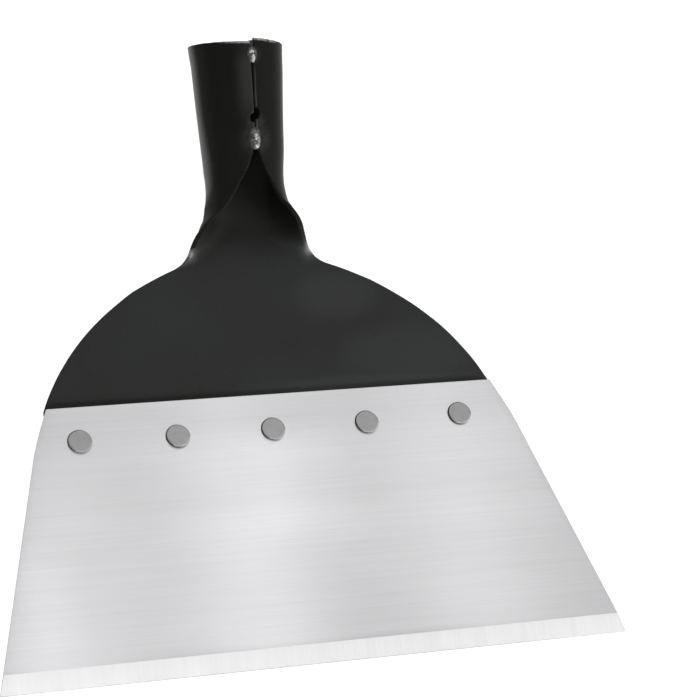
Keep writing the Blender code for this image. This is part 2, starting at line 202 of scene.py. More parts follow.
def section(kind, value, side=1):
    """Back-wall point, plane tilt, flat half-width, radius, wrap and straight flange."""
    if kind == "tube":
        y, z = tube_back(value)
        return y, z, TILT, 0.0, mid_radius(value), math.pi, 0.0
    y = value
    rise = (TUBE_Z - Z_MID) * climb(y) / CLIMB_ALL
    t = clamp((y - TILT_START_Y) / (TUBE_Y - TILT_START_Y))
    tilt = TILT * (1.0 - (1.0 - t) ** TILT_POWER)
    if y <= 46.0:
        return y, Z_MID, 0.0, plate_half(y), 4.0, 0.0, 0.0
    at = y
    if side < 0:
        at += LEFT_DROP * ease(1.0 - abs(y - LEFT_DROP_Y) / LEFT_DROP_SPAN)
    across, wrap = edge_across(at), wrap_angle(at)
    if y < STATION_YS[0]:
        across = plate_half(46.0) + (across - plate_half(46.0)) * (y - 46.0) / 2.0
    if wrap < 0.01:
        return y, Z_MID + rise, tilt, across, 4.0, 0.0, 0.0
    height = edge_height(at)
    radius = min(curl_limit(at), height / (1.0 - math.cos(wrap)))
    flange = max(height - radius * (1.0 - math.cos(wrap)), 0.0) / math.sin(wrap) if wrap < 3.0 else 0.0
    flat = max(across - radius * math.sin(wrap) - flange * math.cos(wrap), 0.0)
    return y, Z_MID + rise, tilt, flat, radius, wrap, flange


SOFTEN = 2.4        # length over which the flat passes into the curl
STEPS = 240


def bend(row, wrap, length):
    """Middle line of a section: lists of (run, across, out, angle) up to its edge."""
    y, z, tilt, flat, radius, _, flange = row
    start, end = flat, flat + radius * wrap
    d0, d1 = min(SOFTEN, flat, 0.45 * radius * wrap), min(SOFTEN, flange, 0.45 * radius * wrap)

    def ramp(t, centre, half):
        return clamp((t - centre + half) / (2.0 * half)) if half > 0.01 else float(t >= centre)

    line, x, n, a = [], 0.0, 0.0, 0.0
    step = length / STEPS
    for k in range(STEPS + 1):
        line.append((x, n, a))
        mid = (k + 0.5) * step
        turn = (ramp(mid, start, d0) - ramp(mid, end, d1)) / radius * step
        x += math.cos(a + 0.5 * turn) * step
        n += math.sin(a + 0.5 * turn) * step
        a += turn
    return line


def on_line(line, run, length):
    t = clamp(run / length) * STEPS
    k = min(int(t), STEPS - 1)
    f = t - k
    return tuple(line[k][i] + f * (line[k + 1][i] - line[k][i]) for i in range(3))


def on_socket(v, turn, radius):
    y, z = axis_point(v)
    c = radius * math.cos(turn)
    return Vector((radius * math.sin(turn), y - c * math.sin(TILT), z + c * math.cos(TILT)))


# ------------------------------------------------------------------ mesh tools
def finish_mesh(name, bm, mats, replaced, sharp=None, weighted=True):
    bmesh.ops.recalc_face_normals(bm, faces=bm.faces[:])
    mesh = bpy.data.meshes.new(name)
    bm.to_mesh(mesh)
    bm.free()
    ob = bpy.data.objects.new(name, mesh)
    bpy.context.scene.collection.objects.link(ob)
    for mat in mats:
        mesh.materials.append(mat)
    mesh.shade_smooth()
    if sharp is not None:
        mesh.set_sharp_from_angle(angle=math.radians(sharp))
    if weighted:
        mod = ob.modifiers.new("even_normals", 'WEIGHTED_NORMAL')
        mod.mode = 'FACE_AREA'
        mod.keep_sharp = True
    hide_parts(*replaced)
    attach(ob, "root")
    return ob


# ------------------------------------------------------------------ node tools
class Tree:
    """Short names for building a node material."""

    def __init__(self, name):
        self.mat = bpy.data.materials.new(name)
        self.mat.use_nodes = True
        self.nt = self.mat.node_tree
        self.bsdf = self.nt.nodes["Principled BSDF"]

    def add(self, kind, **settings):
        node = self.nt.nodes.new(kind)
        for key, value in settings.items():
            setattr(node, key, value)
        return node

    def link(self, a, b):
        self.nt.links.new(a, b)

    def coords(self):
        return self.add("ShaderNodeTexCoord").outputs["Object"]

    def mapping(self, scale, source, rotate=(0.0, 0.0, 0.0), offset=(0.0, 0.0, 0.0)):
        node = self.add("ShaderNodeMapping")
        node.inputs["Scale"].default_value = scale
        node.inputs["Rotation"].default_value = rotate
        node.inputs["Location"].default_value = offset
        self.link(source, node.inputs["Vector"])
        return node.outputs["Vector"]

    def noise(self, vector, scale, detail=2.0, rough=0.5, dim='3D', distortion=0.0):
        node = self.add("ShaderNodeTexNoise", noise_dimensions=dim)
        node.inputs["Scale"].default_value = scale
        node.inputs["Detail"].default_value = detail
        node.inputs["Roughness"].default_value = rough
        node.inputs["Distortion"].default_value = distortion
        self.link(vector, node.inputs["Vector"])
        return node.outputs["Fac"]

    def remap(self, value, a, b, c, d, smooth=False):
        node = self.add("ShaderNodeMapRange",
                        interpolation_type='SMOOTHSTEP' if smooth else 'LINEAR')
        for key, number in zip(("From Min", "From Max", "To Min", "To Max"), (a, b, c, d)):
            node.inputs[key].default_value = number
        self.link(value, node.inputs["Value"])
        return node.outputs["Result"]

    def math(self, op, a, b=None, c=None, clamp_it=False):
        node = self.add("ShaderNodeMath", operation=op, use_clamp=clamp_it)
        for i, x in enumerate((a, b, c)):
            if x is None:
                continue
            if isinstance(x, (int, float)):
                node.inputs[i].default_value = x
            else:
                self.link(x, node.inputs[i])
        return node.outputs[0]

    def mix(self, fac, a, b):
        node = self.add("ShaderNodeMix", data_type='RGBA')
        for socket, x in ((node.inputs["Factor"], fac), (node.inputs["A"], a), (node.inputs["B"], b)):
            if isinstance(x, (int, float)):
                socket.default_value = x
            elif isinstance(x, tuple):
                socket.default_value = (*x, 1.0)
            else:
                self.link(x, socket)
        return node.outputs["Result"]

    def grey(self, value):
        node = self.add("ShaderNodeCombineColor")
        for k in range(3):
            self.link(value, node.inputs[k])
        return node.outputs[0]

    def split(self, vector):
        node = self.add("ShaderNodeSeparateXYZ")
        self.link(vector, node.inputs[0])
        return node.outputs

    def bump(self, height, strength, distance, below=None):
        node = self.add("ShaderNodeBump")
        node.inputs["Strength"].default_value = strength
        node.inputs["Distance"].default_value = distance
        self.link(height, node.inputs["Height"])
        if below is not None:
            self.link(below, node.inputs["Normal"])
        return node.outputs["Normal"]

    def set(self, **values):
        for key, value in values.items():
            self.bsdf.inputs[key.replace("_", " ")].default_value = value


# ------------------------------------------------------------------ materials
# one black paint in two copies: the plate's lighter colours carry painted sheen, the tube's darker ones painted shade
PLATE_DARK, PLATE_LIGHT = (0.0248, 0.0255, 0.0240), (0.0284, 0.0300, 0.0298)
TUBE_DARK, TUBE_LIGHT = (0.0082, 0.0082, 0.0071), (0.0102, 0.0102, 0.0091)
SCUFF_AND_SHEEN, LIP_HIGHLIGHT = (0.028, 0.028, 0.026), (0.060, 0.060, 0.056)
CORNER_HIGHLIGHT, SHEEN_COLOUR = (0.090, 0.090, 0.090), (0.0440, 0.0455, 0.0450)
# painted shade for the scoop of the neck
TROUGH_SHADE = (0.0190, 0.0186, 0.0170)
# painted highlights where the neck's edges leave the plate: (x, y, reach, reach and albedo of the near-white centre)
FLANK_REFLECTION = (0.090, 0.090, 0.086)
# painted glints on the beads: (v, across, reach along, reach across, albedo)
WELD_GLINTS = ((42.8, -0.5, 0.65, 0.95, 0.34), (40.3, 0.1, 1.05, 0.80, 0.36), (38.4, -1.5, 0.6, 0.5, 0.25),
             (11.3, -0.2, 1.7, 0.65, 0.37), (10.2, 0.9, 1.4, 0.50, 0.22), (8.0, 0.5, 0.75, 1.30, 0.25),
             (13.2, -0.5, 0.45, 1.2, 0.10))
HIGHLIGHT_SPOTS = ((-22.2, 59.6, 5.0, 1.8, 0.26), (25.2, 59.4, 6.5, 3.0, 0.20))
# lighter soft areas of the coat, painted sheen: (x, y, half-width, half-height, strength)
SHEEN_AREAS = ((32.0, 40.0, 20.0, 13.0, 0.5), (58.0, 14.0, 34.0, 16.0, 0.4), (40.0, 0.0, 70.0, 8.0, 0.8))


def blade_steel():
    t = Tree("blade_steel_brushed")
    obj = t.coords()
    fine = t.noise(t.mapping((26.0, 1900.0, 1.0), obj), 1.0, 3.0, 0.6)
    long_ = t.noise(t.mapping((7.0, 620.0, 1.0), obj, offset=(3.1, 0.0, 0.0)), 1.0, 2.0, 0.55)
    cloud = t.noise(t.mapping((14.0, 26.0, 1.0), obj), 1.0, 2.0, 0.5)
    grain = t.math('ADD', t.math('MULTIPLY', fine, 0.55), t.math('MULTIPLY', long_, 0.45))
    value = t.remap(grain, 0.25, 0.75, 0.50, 0.575)
    value = t.math('ADD', value, t.remap(cloud, 0.3, 0.7, -0.018, 0.018))
    # a darker line just above the bevel
    x, y, _ = t.split(obj)
    edge = (BEVEL_Y + SHIFT_Y) * MM
    value = t.math('MULTIPLY', value, t.remap(y, edge, edge + 0.0022, 0.93, 1.0, True))
    # painted shade: the steel darkens towards the plate
    value = t.math('MULTIPLY', value, t.remap(y, (-32.0 + SHIFT_Y) * MM, (-6.0 + SHIFT_Y) * MM, 1.0, 0.90, True))
    # painted reflections: areas of the steel made a little lighter or darker for the light they reflect:
    # (x from, x to, y from, y to, change); each fades from the first value to the second
    for x0, x1, y0, y1, change in ((-98.0, -80.0, -72.0, -36.0, 0.17), (-60.0, -82.0, -14.0, -30.0, -0.06)):
        painted_reflection = t.math('MULTIPLY', t.remap(x, min(x0, x1) * MM, max(x0, x1) * MM, float(x0 < x1), float(x0 > x1)),
                       t.remap(y, (min(y0, y1) + SHIFT_Y) * MM, (max(y0, y1) + SHIFT_Y) * MM,
                               1.0, 0.0, True))
        if change < 0.0:
            painted_reflection = t.math('MULTIPLY', painted_reflection, t.remap(y, (-52.0 + SHIFT_Y) * MM, (-38.0 + SHIFT_Y) * MM, 0.0, 1.0, True))
        value = t.math('MULTIPLY', value, t.math('ADD', 1.0, t.math('MULTIPLY', painted_reflection, change)))
    # painted shade: a darker area round x = -18 mm, strongest next to the plate
    middle = t.remap(t.math('ABSOLUTE', t.math('ADD', x, 0.018)), 0.010, 0.045, 1.0, 0.0, True)
    middle = t.math('MULTIPLY', middle, t.remap(y, (-24.0 + SHIFT_Y) * MM, (-9.0 + SHIFT_Y) * MM, 0.0, 1.0, True))
    value = t.math('MULTIPLY', value, t.math('SUBTRACT', 1.0, t.math('MULTIPLY', middle, 0.085)))
    # a painted reflection: a lighter band across the middle of the sheet, strongest near x = 5 mm
    rise = t.math('MULTIPLY', t.remap(y, (-64.0 + SHIFT_Y) * MM, (-46.0 + SHIFT_Y) * MM, 0.0, 1.0, True),
                  t.remap(y, (-26.0 + SHIFT_Y) * MM, (-8.0 + SHIFT_Y) * MM, 1.0, 0.0, True))
    painted_sheen = t.math('ADD', t.remap(x, -0.045, -0.005, 0.0, 0.050, True),
                       t.remap(t.math('ABSOLUTE', t.math('SUBTRACT', x, 0.006)), 0.006, 0.026, 0.055, 0.0, True))
    value = t.math('MULTIPLY', value, t.math('ADD', 1.0, t.math('MULTIPLY', rise, painted_sheen)))
    tint = t.add("ShaderNodeCombineColor")
    t.link(value, tint.inputs[0])
    t.link(value, tint.inputs[1])
    t.link(t.math('MULTIPLY', value, 1.018), tint.inputs[2])
    t.link(tint.outputs[0], t.bsdf.inputs["Base Color"])
    t.link(t.remap(grain, 0.2, 0.8, 0.27, 0.33), t.bsdf.inputs["Roughness"])
    t.link(t.bump(grain, 0.10, 0.00004), t.bsdf.inputs["Normal"])
    tangent = t.add("ShaderNodeTangent", direction_type='UV_MAP', uv_map="grain")
    t.link(tangent.outputs[0], t.bsdf.inputs["Tangent"])
    t.set(Metallic=1.0, Anisotropic=1.0)
    return t.mat


def ground_steel():
    t = Tree("blade_steel_ground")
    obj = t.coords()
    marks = t.noise(t.mapping((1500.0, 40.0, 40.0), obj), 1.0, 3.0, 0.6)
    broad = t.noise(t.mapping((190.0, 12.0, 12.0), obj), 1.0, 2.0, 0.5)
    grain = t.math('ADD', t.math('MULTIPLY', marks, 0.5), t.math('MULTIPLY', broad, 0.5))
    # painted sheen: the bevel is lighter towards the left
    bevel_sheen = t.remap(t.split(obj)[0], -0.100, 0.040, 1.15, 0.975)
    t.link(t.grey(t.math('MULTIPLY', t.remap(grain, 0.3, 0.7, 0.66, 0.74), bevel_sheen)), t.bsdf.inputs["Base Color"])
    t.link(t.remap(grain, 0.2, 0.8, 0.40, 0.50), t.bsdf.inputs["Roughness"])
    t.link(t.bump(grain, 0.15, 0.00005), t.bsdf.inputs["Normal"])
    t.set(Metallic=0.0, Specular_IOR_Level=0.8)
    return t.mat


def along_axis(t, obj):
    """Distance along the socket's axis, in metres, zero at the mouth."""
    y0 = (axis_point(V_MOUTH)[0] + SHIFT_Y) * MM
    z0 = (axis_point(V_MOUTH)[1] + LIFT) * MM
    parts = t.split(obj)
    a = t.math('MULTIPLY', t.math('SUBTRACT', parts[1], y0), math.cos(TILT))
    return t.math('ADD', a, t.math('MULTIPLY', t.math('SUBTRACT', parts[2], z0), math.sin(TILT)))


def seam_x(t, along):
    """Height over the axis plane turned into the seam's x, in metres, for each distance along."""
    slope = TAPER * math.sin(SEAM_TURN)
    at_mouth = outer_radius(V_MOUTH) * math.sin(SEAM_TURN) * MM
    return t.math('ADD', t.math('MULTIPLY', along, slope), at_mouth)


def black_paint():
    t = Tree("black_paint_gloss")
    obj = t.coords()
    parts = t.split(obj)
    along = along_axis(t, obj)
    peel = t.noise(t.mapping((520.0, 520.0, 520.0), obj), 1.0, 2.0, 0.5)
    roll = t.noise(t.mapping((60.0, 60.0, 60.0), obj), 1.0, 3.0, 0.5)
    cloud = t.noise(t.mapping((24.0, 24.0, 24.0), obj), 1.0, 2.0, 0.5)
    chips = t.noise(t.mapping((900.0, 900.0, 900.0), obj), 1.0, 3.0, 0.65)
    streak = t.noise(t.mapping((700.0, 90.0, 90.0), obj), 1.0, 3.0, 0.6)
    cloudy = t.remap(cloud, 0.35, 0.65, 0.0, 1.0)
    flat = t.mix(cloudy, PLATE_DARK, PLATE_LIGHT)
    coat_sheen = None
    # painted sheen: lighter soft areas on the plate
    for x, y, rx, ry, amount in SHEEN_AREAS:
        dx = t.math('DIVIDE', t.math('SUBTRACT', parts[0], x * MM), rx * MM)
        dy = t.math('DIVIDE', t.math('SUBTRACT', parts[1], (y + SHIFT_Y) * MM), ry * MM)
        gap = t.math('ADD', t.math('MULTIPLY', dx, dx), t.math('MULTIPLY', dy, dy))
        spot = t.remap(gap, 0.0, 1.0, amount, 0.0, True)
        coat_sheen = spot if coat_sheen is None else t.math('MAXIMUM', coat_sheen, spot)
    flat = t.mix(coat_sheen, flat, SHEEN_COLOUR)
    # painted shade in the scoop of the neck; it starts further down on the flanks than in the middle
    spread = t.remap(t.math('ABSOLUTE', t.math('SUBTRACT', parts[0], 0.0008)), 0.010, 0.0175, 0.0, 0.0040, True)
    fold = t.math('ADD', parts[1], spread)
    flat = t.mix(t.remap(fold, (63.5 + SHIFT_Y) * MM, (70.0 + SHIFT_Y) * MM, 0.0, 1.0, True), flat, TROUGH_SHADE)
    # painted shade: the tube and the upper neck take the darker copy of the paint
    tube = t.mix(cloudy, TUBE_DARK, TUBE_LIGHT)
    y0, y1 = (58.5 + SHIFT_Y) * MM, (70.0 + SHIFT_Y) * MM
    over = t.math('ADD', t.math('MULTIPLY', parts[1], -math.sin(TILT)),
                  t.math('MULTIPLY', parts[2], math.cos(TILT)))
    level = (-(AXIS_Y + SHIFT_Y) * math.sin(TILT) + (AXIS_Z + LIFT) * math.cos(TILT)) * MM
    tube_shade = t.math('MULTIPLY', t.remap(parts[1], y0, y1, 0.0, 1.0, True),
                    t.remap(over, level - 0.009, level - 0.004, 0.0, 1.0, True))
    colour = t.mix(tube_shade, flat, tube)
    # a painted reflection: a lighter band along the left flank of the tube
    rise = t.math('SUBTRACT', t.math('SUBTRACT', over, level), t.remap(along, -0.045, -0.028, 0.0015, 0.0))
    flank = t.math('MULTIPLY', t.remap(rise, 0.0005, 0.0058, 1.0, 0.0, True),
                   t.remap(rise, -0.0110, -0.0050, 0.0, 1.0, True))
    flank = t.math('MULTIPLY', flank, t.remap(parts[0], -0.0115, -0.0075, 1.0, 0.0, True))
    flank = t.math('MULTIPLY', flank, t.remap(parts[1], (72.0 + SHIFT_Y) * MM, (79.0 + SHIFT_Y) * MM, 0.0, 1.0, True))
    colour = t.mix(flank, colour, FLANK_REFLECTION)
    # lighter coat beside the seam: scuffs round the two beads, a painted reflection on the tube left of the seam, and
    # painted highlights along the seam's lips
    aside = t.math('SUBTRACT', parts[0], seam_x(t, along))
    front = t.remap(parts[2], (AXIS_Z + LIFT) * MM, (AXIS_Z + LIFT + 8.0) * MM, 0.0, 1.0, True)
    near = t.remap(t.math('ABSOLUTE', aside), 0.0006, 0.0011, 1.0, 0.0, True)
    # painted highlight along the lips of the seam
    lips = t.math('MULTIPLY', t.math('MULTIPLY', near, front), t.remap(streak, 0.36, 0.62, 0.15, 1.0))
    # painted reflection: a lighter patch on the tube left of the seam
    patch = t.math('MULTIPLY', t.remap(aside, -0.0085, -0.0025, 0.0, 1.0, True),
                   t.remap(aside, -0.0012, 0.0006, 1.0, 0.0, True))
    patch = t.math('MULTIPLY', patch, t.remap(along, -0.0350, -0.0180, 0.0, 0.75, True))
    patch = t.math('MULTIPLY', t.math('MULTIPLY', patch, front), t.remap(along, -0.0090, -0.0035, 1.0, 0.35, True))
    scuff_and_sheen = patch
    for centre, reach in ((V_MOUTH - 41.6, 0.0042), (V_MOUTH - 10.9, 0.0075), (V_MOUTH - 16.5, 0.0050)):
        down = t.math('ADD', along, centre * MM)
        gap = t.math('SQRT', t.math('ADD', t.math('MULTIPLY', down, down), t.math('MULTIPLY', aside, aside)))
        halo = t.remap(gap, reach * 0.45, reach, 0.8, 0.0, True)
        halo = t.math('MULTIPLY', halo, t.remap(chips, 0.35, 0.65, 0.3, 1.0))
        scuff_and_sheen = t.math('MAXIMUM', scuff_and_sheen, t.math('MULTIPLY', halo, front))
    colour = t.mix(scuff_and_sheen, colour, SCUFF_AND_SHEEN)
    colour = t.mix(lips, colour, LIP_HIGHLIGHT)
    # painted highlights where the neck's edges leave the plate, with a near-white centre
    corner, centre_glint = None, None
    fade = t.remap(parts[1], (60.6 + SHIFT_Y) * MM, (63.2 + SHIFT_Y) * MM, 1.0, 0.0, True)
    for x, y, reach, inner, albedo in HIGHLIGHT_SPOTS:
        dx = t.math('SUBTRACT', parts[0], x * MM)
        dy = t.math('SUBTRACT', parts[1], (y + SHIFT_Y) * MM)
        gap = t.math('SQRT', t.math('ADD', t.math('MULTIPLY', dx, dx), t.math('MULTIPLY', dy, dy)))
        spot = t.math('MULTIPLY', t.remap(gap, 0.0, reach * MM, 1.0, 0.0, True), fade)
        corner = spot if corner is None else t.math('MAXIMUM', corner, spot)
        spot = t.math('MULTIPLY', t.remap(gap, 0.0, inner * MM, albedo, 0.0, True), fade)
        centre_glint = spot if centre_glint is None else t.math('MAXIMUM', centre_glint, spot)
    colour = t.mix(t.math('POWER', corner, 1.6), colour, CORNER_HIGHLIGHT)
    colour = t.mix(centre_glint, colour, (1.0, 1.0, 0.98))
    # painted highlight on the rounded rim of the mouth on both sides of the seam, broken up like chipped paint
    left = t.remap(aside, -0.0165, 0.0, MOUTH[-1][1] * MM, MOUTH[-1][2] * MM)
    right = t.remap(aside, 0.0, 0.0165, MOUTH[1][2] * MM, MOUTH[1][1] * MM)
    is_right = t.math('GREATER_THAN', aside, 0.0)
    level_here = t.math('ADD', t.math('MULTIPLY', is_right, right),
                        t.math('MULTIPLY', t.math('SUBTRACT', 1.0, is_right), left))
    rim = t.remap(t.math('SUBTRACT', along, level_here), -0.00120, -0.00050, 0.0, 1.0, True)
    window = t.math('MULTIPLY', t.remap(aside, -0.0130, -0.0070, 0.0, 1.0, True),
                    t.remap(aside, 0.0070, 0.0125, 1.0, 0.0, True))
    rim = t.math('MULTIPLY', rim, t.math('MULTIPLY', window, front))
    rim_highlight = t.math('MULTIPLY', rim, t.remap(chips, 0.38, 0.60, 0.15, 1.0))
    t.link(t.mix(rim_highlight, colour, (0.27, 0.27, 0.26)), t.bsdf.inputs["Base Color"])
    # the scoop of the neck is dull; the corners where it starts, which carry the painted highlights, are glossier
    dull = t.math('MULTIPLY', t.remap(fold, (63.5 + SHIFT_Y) * MM, (66.5 + SHIFT_Y) * MM, 0.0, 1.0, True),
                  t.math('SUBTRACT', 1.0, t.remap(over, level + 0.000, level + 0.012, 0.0, 1.0, True)))
    dull = t.math('MULTIPLY', dull, t.remap(parts[1], (72.0 + SHIFT_Y) * MM, (80.0 + SHIFT_Y) * MM, 1.0, 0.0, True))
    rough = t.math('ADD', t.remap(roll, 0.3, 0.7, 0.25, 0.32), t.math('MULTIPLY', dull, 0.36))
    rough = t.math('SUBTRACT', rough, t.math('MULTIPLY', corner, 0.10))
    t.link(rough, t.bsdf.inputs["Roughness"])
    lower = t.bump(roll, 0.12, 0.0004)
    t.link(t.bump(peel, 0.10, 0.00004, lower), t.bsdf.inputs["Normal"])
    t.set(Specular_IOR_Level=0.03)
    return t.mat


def edge_paint():
    """The coat on the cut edge beside the notch: dull and thin."""
    t = Tree("black_paint_edge")
    obj = t.coords()
    chips = t.noise(t.mapping((900.0, 900.0, 900.0), obj), 1.0, 3.0, 0.65)
    roll = t.noise(t.mapping((60.0, 60.0, 60.0), obj), 1.0, 3.0, 0.5)
    t.link(t.mix(chips, (0.0085, 0.0085, 0.0075), (0.0130, 0.0130, 0.0118)), t.bsdf.inputs["Base Color"])
    t.link(t.remap(chips, 0.3, 0.7, 0.66, 0.78), t.bsdf.inputs["Roughness"])
    t.link(t.bump(roll, 0.12, 0.0004), t.bsdf.inputs["Normal"])
    t.set(Specular_IOR_Level=0.02)
    return t.mat


def weld_paint():
    """Paint over the beads, with painted glints on a few crests: (v, across, reach along, reach across, albedo)."""
    t = Tree("black_paint_weld")
    obj = t.coords()
    x, y, _ = t.split(obj)
    ripple = t.noise(t.mapping((700.0, 700.0, 700.0), obj), 1.0, 2.0, 0.5, distortion=0.6)
    fine = t.noise(t.mapping((1500.0, 1500.0, 1500.0), obj, offset=(0.0, 0.7, 0.2)), 1.0, 1.0, 0.5)
    patch = t.noise(t.mapping((360.0, 360.0, 360.0), obj, offset=(0.3, 0.1, 0.0)), 1.0, 2.0, 0.5)
    thin = t.remap(patch, 0.42, 0.62, 0.0, 1.0, True)
    colour = t.mix(thin, (0.026, 0.026, 0.024), (0.075, 0.075, 0.072))
    # painted glints: lighter spots on the crests of the beads
    for v, across, along, wide, albedo in WELD_GLINTS:
        at = to_row(on_socket(v, SEAM_TURN + across / outer_radius(v), outer_radius(v) + 0.6))
        dx = t.math('MULTIPLY', t.math('SUBTRACT', x, at[0]), 1.0 / (wide * MM))
        dy = t.math('MULTIPLY', t.math('SUBTRACT', y, at[1]), 1.0 / (along * 0.906 * MM))
        near = t.math('ADD', t.math('MULTIPLY', dx, dx), t.math('MULTIPLY', dy, dy))
        near = t.math('ADD', near, t.math('MULTIPLY', t.math('SUBTRACT', fine, 0.5), 3.0))
        bead_glint = t.remap(near, 0.20, 1.15, 1.0, 0.0, True)
        colour = t.mix(bead_glint, colour, (albedo, albedo, albedo * 0.975))
    t.link(colour, t.bsdf.inputs["Base Color"])
    t.link(t.remap(ripple, 0.3, 0.7, 0.13, 0.22), t.bsdf.inputs["Roughness"])
    t.link(t.bump(ripple, 0.20, 0.00010), t.bsdf.inputs["Normal"])
    t.set(Specular_IOR_Level=0.5)
    return t.mat


def rivet_face():
    t = Tree("rivet_steel_face")
    obj = t.coords()
    spots = t.noise(t.mapping((900.0, 900.0, 900.0), obj), 1.0, 3.0, 0.6)
    cloud = t.noise(t.mapping((260.0, 260.0, 260.0), obj), 1.0, 2.0, 0.5)
    mixed = t.math('ADD', t.math('MULTIPLY', spots, 0.4), t.math('MULTIPLY', cloud, 0.6))
    t.link(t.grey(t.remap(mixed, 0.3, 0.7, 0.27, 0.33)), t.bsdf.inputs["Base Color"])
    t.link(t.remap(mixed, 0.2, 0.8, 0.36, 0.48), t.bsdf.inputs["Roughness"])
    t.link(t.bump(spots, 0.12, 0.00004), t.bsdf.inputs["Normal"])
    t.set(Metallic=1.0)
    return t.mat


def rivet_side_shade():
    # painted shade: the side walls, shank and under side of the rivets are near black
    t = Tree("rivet_steel_oxide")
    obj = t.coords()
    spots = t.noise(t.mapping((1200.0, 1200.0, 1200.0), obj), 1.0, 3.0, 0.6)
    t.link(t.grey(t.remap(spots, 0.3, 0.7, 0.010, 0.022)), t.bsdf.inputs["Base Color"])
    t.link(t.remap(spots, 0.2, 0.8, 0.5, 0.7), t.bsdf.inputs["Roughness"])
    t.link(t.bump(spots, 0.2, 0.00005), t.bsdf.inputs["Normal"])
    t.set(Metallic=0.0, Specular_IOR_Level=0.3)
    return t.mat


def rivet_edge_highlight():
    # painted highlight for part of the rivet heads' edges
    t = Tree("rivet_steel_rubbed")
    obj = t.coords()
    spots = t.noise(t.mapping((1500.0, 1500.0, 1500.0), obj), 1.0, 3.0, 0.6)
    t.link(t.grey(t.remap(spots, 0.3, 0.7, 0.28, 0.42)), t.bsdf.inputs["Base Color"])
    t.link(t.remap(spots, 0.2, 0.8, 0.40, 0.55), t.bsdf.inputs["Roughness"])
    t.link(t.bump(spots, 0.15, 0.00004), t.bsdf.inputs["Normal"])
    t.set(Metallic=0.0, Specular_IOR_Level=0.5)
    return t.mat


# ------------------------------------------------------------------ blade
def make_blade(steel, ground):
    ys = [EDGE_Y, -100.4, BEVEL_Y] + [BEVEL_Y + (SIDE_END_Y - BEVEL_Y) * k / 26 for k in range(1, 27)]
    ys += [SIDE_END_Y * (1.0 - k / 16) for k in range(1, 17)]
    n = 56
    bm = bmesh.new()
    uv = bm.loops.layers.uv.new("grain")

    def surface(x, y, front):
        wave = 0.05 * noise.noise(Vector((x / 55.0, y / 70.0, 1.7)))
        wave *= ease((y - EDGE_Y) / 25.0) * ease(-y / 12.0) * ease((blade_half(y) - abs(x)) / 15.0)
        if front:
            drop = (BLADE_T - EDGE_T) * clamp((BEVEL_Y - y) / (BEVEL_Y - EDGE_Y))
            return -drop + wave
        return -BLADE_T + wave

    grids = {}
    for front in (True, False):
        grids[front] = [[bm.verts.new((blade_half(y) * (2.0 * k / n - 1.0), y,
                                       surface(blade_half(y) * (2.0 * k / n - 1.0), y, front)))
                         for k in range(n + 1)] for y in ys]
    for front, grid in grids.items():
        for r, (low, high) in enumerate(zip(grid, grid[1:])):
            for k in range(n):
                face = bm.faces.new((low[k], low[k + 1], high[k + 1], high[k]))
                if front and r < 2:
                    face.material_index = 1
    top, low = grids[True], grids[False]
    for k in range(n):
        for r in (0, -1):
            bm.faces.new((top[r][k], top[r][k + 1], low[r][k + 1], low[r][k]))
    for r in range(len(ys) - 1):
        for k in (0, n):
            bm.faces.new((top[r][k], top[r + 1][k], low[r + 1][k], low[r][k]))
    bmesh.ops.recalc_face_normals(bm, faces=bm.faces[:])
    corners = [e for e in bm.edges if len(e.link_faces) == 2
               and e.calc_face_angle() > math.radians(60)]
    bmesh.ops.bevel(bm, geom=corners, offset=0.14, segments=2, profile=0.6, affect='EDGES',
                    clamp_overlap=True)
    for face in bm.faces:
        for loop in face.loops:
            loop[uv].uv = (loop.vert.co.y / 100.0, loop.vert.co.x / 100.0)
    for vert in bm.verts:
        vert.co = to_row(vert.co)
    return finish_mesh("blade_fine", bm, (steel, ground), ("blade",), sharp=50)


# ------------------------------------------------------------------ formed sheet
ROUND = 0.45        # radius on the sheet's edges
ROUND_N = 3


def seam_edge(side, v):
    """Distance from the seam's middle to the free edge of that side."""
    gap = 0.5 * SEAM_GAP - 0.06 + 0.28 * ease((v - 26.0) / 12.0) + 0.10 * ease((v - 43.0) / 3.0)
    centre, long_ = (HOLE_V_RIGHT, HOLE_LONG_RIGHT) if side > 0 else (HOLE_V_LEFT, HOLE_LONG_LEFT)
    d = (v - centre) / long_
    if abs(d) < 1.0:
        gap = max(gap, 0.1 + HOLE_R * math.sqrt(1.0 - d * d))
    gap += 0.07 * noise.noise(Vector((v / 2.3, 3.0 * side, 0.4)))
    return gap


def wander(x, y):
    """Small waves that pressing left in the sheet."""
    return (0.10 * noise.noise(Vector((x / 34.0, y / 38.0, 7.3)))
            + 0.03 * noise.noise(Vector((x / 9.0, y / 11.0, 2.1))))


def sheet_rows():
    rows = [("plate", y) for y in (-25.0, -20.0, -16.0, -12.0, -8.0, -5.0, -3.0, -1.5, 0.0)]
    rows += [("plate", 2.5 * k) for k in range(1, 14)]
    rows += [("plate", 33.5 + 1.25 * k) for k in range(0, 11)]
    rows += [("plate", 47.0 + 0.5 * k) for k in range(0, 42)]
    rows += [("plate", 67.8 + 0.9 * k) for k in range(0, 37) if 67.8 + 0.9 * k < TUBE_Y - 0.4]
    vs = {V_TUBE + 0.9 * k for k in range(0, 42) if V_TUBE + 0.9 * k < V_MOUTH - ROUND - 0.3}
    for centre, long_ in ((HOLE_V_LEFT, HOLE_LONG_LEFT), (HOLE_V_RIGHT, HOLE_LONG_RIGHT)):
        vs |= {centre + long_ * math.sin(math.radians(a)) for a in range(-90, 91, 15)}
    vs = sorted(vs)
    vs = [v for i, v in enumerate(vs) if i == 0 or v - vs[i - 1] > 0.02]
    rows += [("tube", v) for v in vs]
    return rows


